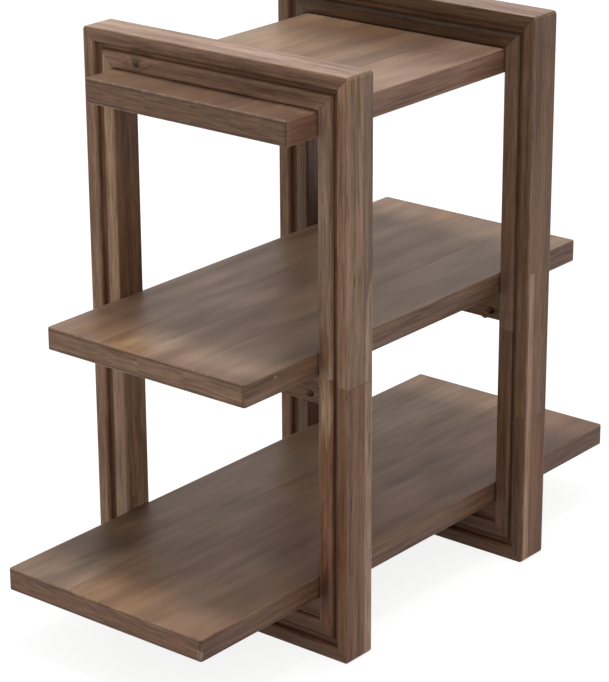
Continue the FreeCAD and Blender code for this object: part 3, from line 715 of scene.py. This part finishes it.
@dataclass(frozen=True)
class Frames:
    """The two upright frames of moulded members, with the bearers that carry the shelves."""

    near: float = NEAR_FACE
    far: float = FAR_FACE
    pocket_y: float = 104.0
    pocket_drop: float = 5.3
    pocket_shade: str = "#2c1d16"

    def members(self) -> tuple[Member, ...]:
        """Lists the wood of the eight members.

        Returns:
            The members.
        """
        near, far = self.near, self.far
        edge = BAND_START - FRAME_HALF_WIDTH
        rim, band = (-FAR, edge), (edge, FAR)
        side_face = (-FAR, FACE_DEPTH - FRAME_HALF_WIDTH)
        # Painted light: the top faces of the top rails, lit by the lamp overhead, are painted paler
        lit_top_face = (FRAME_HEIGHT - FACE_DEPTH, FAR)
        # Painted shade: the inner faces of the back posts, which face into the table, are painted
        # darker
        inner_face_shade = (-FAR, BACK_OPENING + 1.2)
        # The near front post is two lengths, joined behind the middle shelf
        lower, upper = (-FAR, 259), (259, FAR)
        return (
            Member("left_frame_front_post", "#8c6c56", "#7f6452", strips=(
                Strip("#7d604a", 11.0, 0.0, y=side_face),
                Strip("#73503b", 31.3, y=rim, z=lower),
                Strip("#6c4a36", 31.3, 0.0, y=side_face, z=lower),
                Strip("#6a5345", 33.1, 0.15, x=(near + 21.5, FAR), y=rim, z=upper),
                Strip("#907360", 35.9, 0.15, x=(near + 23, FAR), y=rim, z=lower),
                Strip("#704c36", 37.7, 0.5, y=band, z=(-FAR, 263)),
            ), marks=(
                Mark((near, -123, 238), (40, 8, 46), "#9f8264", 0.85, 0.3, 3.0),
                Mark((near, -121, 130), (40, 3, 90), "#94705a", 0.5, 0.2),
                Mark((near, -122, 66), (40, 9, 34), "#4d3324", 0.7, 0.3),
                Mark((near, -122, 290), (40, 9, 26), "#6a4831", 0.6, 0.4),
                Mark((near + 31, -148, 259), (8.5, 8, 112), "#907360", 1.0, 0.75),
                Mark((near + 9, -148, 420), (1.4, 8, 130), "#5c4233", 0.7, 0.2),
                Mark((near + 8, -148, 355), (2.2, 8, 7), "#4b3529", 0.8, 0.2, 2.0),
                Mark((near + 16, -148, 440), (4.5, 8, 130), "#a48769", 0.6, 0.2),
                Mark((near + 4, -148, 153), (2.0, 8, 12), "#2d1c15", 0.8, 0.2),
                Mark((near, -146.0, 252), (3, 1.2, 7), "#2d1c15", 0.9, 0.2),
            )),
            Member("left_frame_back_post", "#856650", "#9c7c60", strips=(
                Strip("#8c6e57", 38.3, 0.3, y=(-FAR, BACK_OPENING + 15.7), z=(-FAR, 262)),
                # Painted shade on the inner face above the middle shelf
                Strip("#6c4d38", 39.3, 0.0, y=inner_face_shade, z=(262, FAR)),
            ), marks=(
                Mark((near, 134, 130), (40, 20, 60), "#6a4a38", 0.5, 0.2),
                Mark((near + 20, 113.8, 170), (5, 6, 70), "#5c3d2c", 0.7, 0.2),
            )),
            Member("left_frame_top_rail", "#80614e", "#7f604e", strips=(
                # Painted light on the top face
                Strip("#917461", 13.9, 0.0, z=lit_top_face),
            ), marks=(
                Mark((near, 86.8, 505), (40, 7.5, 5.4), "#33231c", 1.0, 0.45, 5.0),
                Mark((near, 88, 508), (40, 16, 5.5), "#8f735c", 0.5, 0.5),
            )),
            Member("left_frame_bottom_rail", "#6e4f3c", "#684936"),
            Member("right_frame_front_post", "#6b503f", "#6d5241", strips=(
                Strip("#614636", 41.9, 0.7, y=rim, z=(-FAR, 147)),
                Strip("#694b37", 22.6, 0.0, y=side_face, z=(147, FAR)),
                Strip("#643f29", 41.9, 0.0, y=side_face, z=(-FAR, 147)),
                Strip("#94715a", 43.3, 0.6, x=(far + 1.2, far + 10), y=rim, z=(-FAR, 290)),
                Strip("#644735", 45.1, 0.4, y=band, z=(-FAR, 230)),
            )),
            Member("right_frame_back_post", "#775846", "#604637", strips=(
                # Painted shade on the inner face
                Strip("#4a3125", 49.3, 0.0, y=inner_face_shade),
            )),
            Member("right_frame_top_rail", "#584331", "#3e2a1e", strips=(
                # Painted light on the top face
                Strip("#85695a", 14.9, 0.0, z=lit_top_face),
            )),
            Member("right_frame_bottom_rail", "#684936", "#5f4231"),
        )

    def painted_pocket_shade(self, low: Triple, high: Triple) -> tuple[Mark, ...]:
        """Paints shade into the two pocket holes of a bearer, as dark patches round them.

        Args:
            low: The bearer's lowest corner.
            high: The bearer's highest corner.

        Returns:
            A mark of painted shade for each hole.
        """
        height = (low[2] + high[2]) / 2 - self.pocket_drop
        return tuple(Mark((low[0] + 5, y, height), (11, 10, 5), self.pocket_shade, 0.9, 0.7)
                     for y in (-self.pocket_y, self.pocket_y))

    def dress(self) -> None:
        """Gives each member and bearer its wood."""
        for place, member in enumerate(self.members()):
            dress(member.name, member.make(11.0 + 2.9 * place))
        for place, side in enumerate(("left", "right")):
            for part, stain in (("middle_bearer", "#664835"), ("bottom_bearer", "#5c402f")):
                name = f"{side}_{part}"
                low, high = node_box(name)
                # Painted shade in the pocket holes of the far middle bearer only
                hole_shade = self.painted_pocket_shade(low, high) if name == "right_middle_bearer" else ()
                dress(name, StainedAcacia(f"{name}_acacia", Grain.CROSSWISE, low, high, stain,
                                          51.0 + place, marks=hole_shade).make())
        beech = BARE_BEECH.make()
        for name in frame["nodes"]:
            if name.endswith("_tenon"):
                dress(name, beech)


class Head(Enum):
    """The head of a wood screw, as rings of its outline from the top: share of its radius, and of
    its height above its seat (a domed head) or below its top (the land of a countersunk one)."""

    DOMED = ((0.16, -1.0), (0.42, -0.92), (0.74, -0.7), (0.93, -0.42), (1.0, -0.2), (1.0, 0.0))
    COUNTERSUNK = ((0.96, 0.0), (1.0, 0.3), (1.0, 1.0))


@dataclass(frozen=True)
class WoodScrew:
    """One kind of cross-recessed wood screw, in metres, modelled upright with its point on top.

    A domed head has its seat at height nought, a countersunk one its outer face. The thread is
    a ridge wound round a core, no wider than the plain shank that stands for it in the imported
    model.
    """

    name: str
    head: Head
    length: float
    shank: float
    head_width: float
    head_height: float

    SIDES = 32
    THREAD_STEPS = 16
    # Shares of the shank's width: the core, the thread's pitch and the blunt tip
    CORE = 0.72
    PITCH = 0.45
    TIP = 0.25
    # Half the ridge's width, as a share of the pitch
    RIDGE = 0.3
    # The plain part of the length, the point, the run from shank to core, and a hair's lift
    PLAIN = 0.3
    POINT = 5 * MM
    RUN = 0.6 * MM
    LIFT = 0.01 * MM
    THREAD_START = 2.2 * MM
    # Shares of the head's width: the cross recess, its arms and its depth
    RECESS = 0.56
    RECESS_WIDTH = 0.13
    RECESS_DEPTH = 0.3
    RECESS_TAPER = 0.55

    def make(self) -> Piece:
        """Models the screw.

        Returns:
            The screw, at the origin.
        """
        rings = self.outline()
        radius, height = rings[0]
        pick()
        bpy.ops.mesh.primitive_circle_add(vertices=self.SIDES, radius=radius, fill_type="NGON",
                                          location=(0.0, 0.0, height))
        body = bpy.context.object
        bpy.ops.object.transform_apply()
        bpy.ops.object.mode_set(mode="EDIT")
        bpy.ops.mesh.select_all(action="SELECT")
        for wider, higher in rings[1:]:
            rise = (0.0, 0.0, higher - height)
            bpy.ops.mesh.extrude_region_move(TRANSFORM_OT_translate={"value": rise})
            share = wider / radius
            bpy.ops.transform.resize(value=(share, share, 1.0), center_override=(0.0, 0.0, higher))
            radius, height = wider, higher
        bpy.ops.mesh.select_all(action="SELECT")
        bpy.ops.mesh.normals_make_consistent(inside=False)
        bpy.ops.object.mode_set(mode="OBJECT")
        self.cut_recess(body, rings[0][1])
        self.join(body, self.wind_thread())
        body.name = self.name
        body.data.name = self.name
        LOG.info("modelled %s", self.name)
        return body

    def outline(self) -> list[tuple[float, float]]:
        """Gives the radius and height of each ring from the top of the head to the point.

        Returns:
            The rings.
        """
        head, shank = self.head_width / 2, self.shank / 2
        core = shank * self.CORE
        seat = 0.0 if self.head is Head.DOMED else self.head_height + head - shank
        threaded = seat + (self.length - seat) * self.PLAIN
        rings = [(head * share, self.head_height * height) for share, height in self.head.value]
        return rings + [(shank, seat + self.LIFT), (shank, threaded), (core, threaded + self.RUN),
                        (core, self.length - self.POINT), (shank * self.TIP, self.length)]

    def cut_recess(self, body: Piece, top: float) -> None:
        """Cuts the cross for the driver into the head.

        Args:
            body: The screw.
            top: Where its head ends.
        """
        reach = self.head_width * self.RECESS / 2
        half = self.head_width * self.RECESS_WIDTH / 2
        depth = self.head_width * self.RECESS_DEPTH
        for wide, deep in ((reach, half), (half, reach)):
            pick()
            bpy.ops.mesh.primitive_cube_add(size=2.0)
            blade = bpy.context.object
            blade.scale = (wide, deep, depth)
            blade.location = (0.0, 0.0, top)
            bpy.ops.object.transform_apply()
            bpy.ops.object.mode_set(mode="EDIT")
            bpy.ops.mesh.select_all(action="DESELECT")
            bpy.ops.object.mode_set(mode="OBJECT")
            for face in blade.data.polygons:
                face.select = face.normal.z > 0.5
            bpy.ops.object.mode_set(mode="EDIT")
            bpy.ops.transform.resize(value=(self.RECESS_TAPER, self.RECESS_TAPER, 1.0),
                                     center_override=(0.0, 0.0, top))
            bpy.ops.object.mode_set(mode="OBJECT")
            self.subtract(body, blade)

    def subtract(self, body: Piece, tool: Piece) -> None:
        """Cuts one shape out of another, and removes the tool.

        Args:
            body: The shape that is cut.
            tool: The shape that is taken out of it.
        """
        pick(body)
        cut = body.modifiers.new("recess", "BOOLEAN")
        cut.operation = "DIFFERENCE"
        cut.solver = "EXACT"
        cut.object = tool
        bpy.ops.object.modifier_apply(modifier=cut.name)
        bpy.data.objects.remove(tool)

    def wind_thread(self) -> Piece:
        """Winds the ridge of the thread round the core.

        Returns:
            The ridge.
        """
        shank = self.shank / 2
        pitch = self.shank * self.PITCH
        start = self.length * self.PLAIN + self.THREAD_START
        turns = int((self.length - self.POINT - start) / pitch)
        pick()
        bpy.ops.mesh.primitive_circle_add(vertices=3, radius=pitch * self.RIDGE, fill_type="NOTHING",
                                          rotation=(math.pi / 2, math.pi / 2, 0.0))
        ridge = bpy.context.object
        bpy.ops.object.transform_apply()
        outer = max(vertex.co.x for vertex in ridge.data.vertices)
        inner = min(vertex.co.x for vertex in ridge.data.vertices)
        # The crest stays just inside the plain shank, and the root just inside the core
        crest, root = shank * 0.99, shank * self.CORE * 0.9
        stretch = (crest - root) / (outer - inner)
        bpy.ops.transform.resize(value=(stretch, 1.0, 1.0), center_override=(0.0, 0.0, 0.0))
        bpy.ops.object.transform_apply()
        ridge.location = (crest - outer * stretch, 0.0, start)
        bpy.ops.object.transform_apply()
        wind = ridge.modifiers.new("thread", "SCREW")
        wind.axis = "Z"
        wind.screw_offset = pitch
        wind.iterations = turns
        wind.steps = wind.render_steps = self.THREAD_STEPS
        bpy.context.view_layer.objects.active = ridge
        bpy.ops.object.modifier_apply(modifier=wind.name)
        bpy.ops.object.mode_set(mode="EDIT")
        bpy.ops.mesh.select_all(action="DESELECT")
        bpy.ops.mesh.select_non_manifold(extend=False, use_multi_face=False, use_non_contiguous=False,
                                         use_verts=False)
        bpy.ops.mesh.fill_holes(sides=4)
        bpy.ops.mesh.select_all(action="SELECT")
        bpy.ops.mesh.normals_make_consistent(inside=False)
        bpy.ops.object.mode_set(mode="OBJECT")
        return ridge

    def join(self, body: Piece, part: Piece) -> None:
        """Joins a part to the screw's body.

        Args:
            body: The screw.
            part: What becomes part of it.
        """
        pick(part, body)
        bpy.ops.object.join()


@dataclass(frozen=True)
class Fixings:
    """The screws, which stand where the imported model's screws do.

    Angled ones are in the middle bearers' ends, domed ones go up into the middle shelf, and
    countersunk ones go through the bottom rails and up through the top shelf.
    """

    SMOOTH_BELOW = math.radians(40)

    pocket: WoodScrew = WoodScrew("pocket_screw", Head.DOMED, 19 * MM, 3.5 * MM, 6.4 * MM, 2.4 * MM)
    shelf: WoodScrew = WoodScrew("shelf_screw", Head.DOMED, 40 * MM, 4.0 * MM, 7.6 * MM, 3.4 * MM)
    rail: WoodScrew = WoodScrew("rail_screw", Head.COUNTERSUNK, 66 * MM, 5.0 * MM, 10.0 * MM, 0.5 * MM)
    top: WoodScrew = WoodScrew("top_screw", Head.COUNTERSUNK, 42 * MM, 4.5 * MM, 8.6 * MM, 0.5 * MM)

    def build(self) -> None:
        """Models the screws, one of each kind, and sets copies of them where they belong."""
        steel = BLACK_PHOSPHATE.make()
        for kind, ending in ((self.pocket, "_screw"), (self.shelf, "_middle_shelf_screws"),
                             (self.rail, "_bottom_rail_screws"), (self.top, "_top_shelf_screws")):
            pattern = kind.make()
            pattern.data.materials.append(steel)
            pick(pattern)
            bpy.ops.object.shade_smooth_by_angle(angle=self.SMOOTH_BELOW)
            for node in sorted(frame["nodes"]):
                if node.endswith(ending):
                    self.set_copies(kind, pattern, node)
            bpy.data.objects.remove(pattern)

    def set_copies(self, kind: WoodScrew, pattern: Piece, node: str) -> None:
        """Sets the screws of one CAD node.

        Args:
            kind: The kind of screw.
            pattern: The one that is copied.
            node: The node that the copies stand for.
        """
        copies = []
        for place in self.places(kind, node):
            mesh = pattern.data.copy()
            mesh.transform(place)
            copies.append(bpy.data.objects.new(f"{node}_threaded", mesh))
            bpy.context.scene.collection.objects.link(copies[-1])
        for spare in copies[1:]:
            kind.join(copies[0], spare)
        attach(copies[0], "root")
        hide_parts(node)
        LOG.info("set %s", copies[0].name)

    def places(self, kind: WoodScrew, node: str) -> list[Matrix]:
        """Works out where the screws of a CAD node stand, from the node's box.

        Args:
            kind: The kind of screw.
            node: The node's name.

        Returns:
            The place of each screw.
        """
        low, high = (Vector(corner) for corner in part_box(node))
        radius = kind.head_width / 2
        if kind is self.pocket:
            # It leans 45 degrees, and its blunt tip touches two faces of the node's box
            diagonal = math.sqrt(0.5)
            turn = 1 if node.endswith("back_screw") else -1
            slack = kind.shank / 2 * kind.TIP * diagonal
            reached = high.y if turn > 0 else low.y
            tip = Vector((high.x - slack, reached - turn * slack, (low.z + high.z) / 2))
            along = Vector((diagonal, turn * diagonal, 0.0))
            lean = Vector((0.0, 0.0, 1.0)).rotation_difference(along).to_matrix().to_4x4()
            return [Matrix.Translation(tip - along * kind.length) @ lean]
        seat = low.z + (kind.head_height if kind.head is Head.DOMED else 0.0)
        columns = (low.x + radius, high.x - radius) if kind is self.shelf else ((low.x + high.x) / 2,)
        rows = (low.y + radius, high.y - radius)
        return [Matrix.Translation((x, y, seat)) for x in columns for y in rows]


@dataclass(frozen=True)
class Studio:
    """The plain pale floor, the soft lamp overhead and the bright room all round."""

    floor_size: float = 30.0
    lamp_height: float = 3.0
    lamp_size: float = 0.45
    lamp_power: float = 40.0
    room: float = 0.7
    floor: str = "#e0e0e0"
    shaded_floor: str = "#8c8c8c"
    glow: float = 0.86

    def build(self) -> None:
        """Builds floor, lamp and world."""
        pick()
        bpy.ops.mesh.primitive_plane_add(size=self.floor_size)
        floor = bpy.context.object
        floor.name = "studio_floor"
        floor.data.materials.append(self.make_floor())
        lamp = bpy.data.lights.new("softbox", "AREA")
        lamp.shape = "SQUARE"
        lamp.size = self.lamp_size
        lamp.energy = self.lamp_power
        holder = bpy.data.objects.new("softbox", lamp)
        holder.location = (0.0, 0.0, self.lamp_height)
        bpy.context.scene.collection.objects.link(holder)
        self.make_world()
        LOG.info("built the studio")

    def make_floor(self) -> Material:
        """Makes the floor: it looks white from the camera and keeps the table's shadow.

        Returns:
            The floor's material.
        """
        paint = Recipe(bpy.data.materials.new("pale_floor"))
        seen = self.find_seen(paint)
        matt = paint.add("ShaderNodeBsdfDiffuse", {"Color": linear(self.floor)})
        shade = paint.add("ShaderNodeBsdfDiffuse", {"Color": linear(self.shaded_floor)})
        glow = paint.add("ShaderNodeEmission", {"Color": linear("#ffffff"), "Strength": self.glow})
        lit = paint.add("ShaderNodeAddShader", {0: shade, 1: glow})
        floor = paint.add("ShaderNodeMixShader", {0: seen, 1: matt, 2: lit})
        paint.add("ShaderNodeOutputMaterial", {"Surface": floor})
        return paint.owner

    def find_seen(self, recipe: Recipe) -> Socket:
        """Tells what the camera sees, itself or in gloss or glass, from what only lights the table.

        Args:
            recipe: The nodes of the floor or the room.

        Returns:
            One where it is seen and nought elsewhere.
        """
        rays = recipe.add("ShaderNodeLightPath").node.outputs
        seen = rays["Is Camera Ray"]
        for ray in ("Is Glossy Ray", "Is Transmission Ray"):
            seen = recipe.add(MATH, {0: seen, 1: rays[ray]}, operation="MAXIMUM")
        return seen

    def make_world(self) -> None:
        """Makes the room: plain light on the table, and white to the camera and to gloss."""
        room = Recipe(bpy.data.worlds.new("studio_room"))
        seen = self.find_seen(room)
        strength = room.add(RANGE, {0: seen, 3: self.room, 4: 1.0})
        light = room.add("ShaderNodeBackground", {"Color": linear("#ffffff"), "Strength": strength})
        room.add("ShaderNodeOutputWorld", {"Surface": light})
        bpy.context.scene.world = room.owner
        bpy.context.scene.view_settings.view_transform = "Standard"


@dataclass(frozen=True)
class Viewpoint:
    """The camera as it stood for the photograph. Lengths are in millimetres, angles in degrees."""

    place: Triple = (-1763.742, -1420.407, 1069.016)
    yaw: float = 39.315
    pitch: float = -20.433
    roll: float = -0.34
    focal_pixels: float = 2619.889
    centre: tuple[float, float] = (302.897, 341.389)
    frame: tuple[int, int] = (609, 682)

    SENSOR = 36.0

    def build(self) -> None:
        """Sets up the camera."""
        yaw, pitch, roll = (math.radians(angle) for angle in (self.yaw, self.pitch, self.roll))
        level = math.cos(pitch)
        ahead = Vector((level * math.cos(yaw), level * math.sin(yaw), math.sin(pitch)))
        right = ahead.cross(Vector((0, 0, 1))).normalized()
        above = right.cross(ahead)
        across = right * math.cos(roll) + above * math.sin(roll)
        above = above * math.cos(roll) - right * math.sin(roll)
        width, height = self.frame
        camera = bpy.data.cameras.new("camera")
        camera.sensor_width = self.SENSOR
        camera.lens = self.focal_pixels / height * self.SENSOR
        camera.shift_x = (width / 2 - self.centre[0]) / height
        camera.shift_y = (self.centre[1] - height / 2) / height
        camera.clip_start = 0.1
        camera.clip_end = 100.0
        holder = bpy.data.objects.new("camera", camera)
        turn = Matrix((across, above, -ahead)).transposed().to_4x4()
        holder.matrix_world = Matrix.Translation(Vector(self.place) * MM) @ turn
        bpy.context.scene.collection.objects.link(holder)
        bpy.context.scene.camera = holder
        LOG.info("set the camera")


def main() -> None:
    """Builds the scene."""
    logging.basicConfig(level=logging.INFO, format="%(name)s: %(message)s")
    Viewpoint().build()
    Studio().build()
    Shelves().dress()
    Frames().dress()
    Fixings().build()


if __name__ == "__main__":
    main()
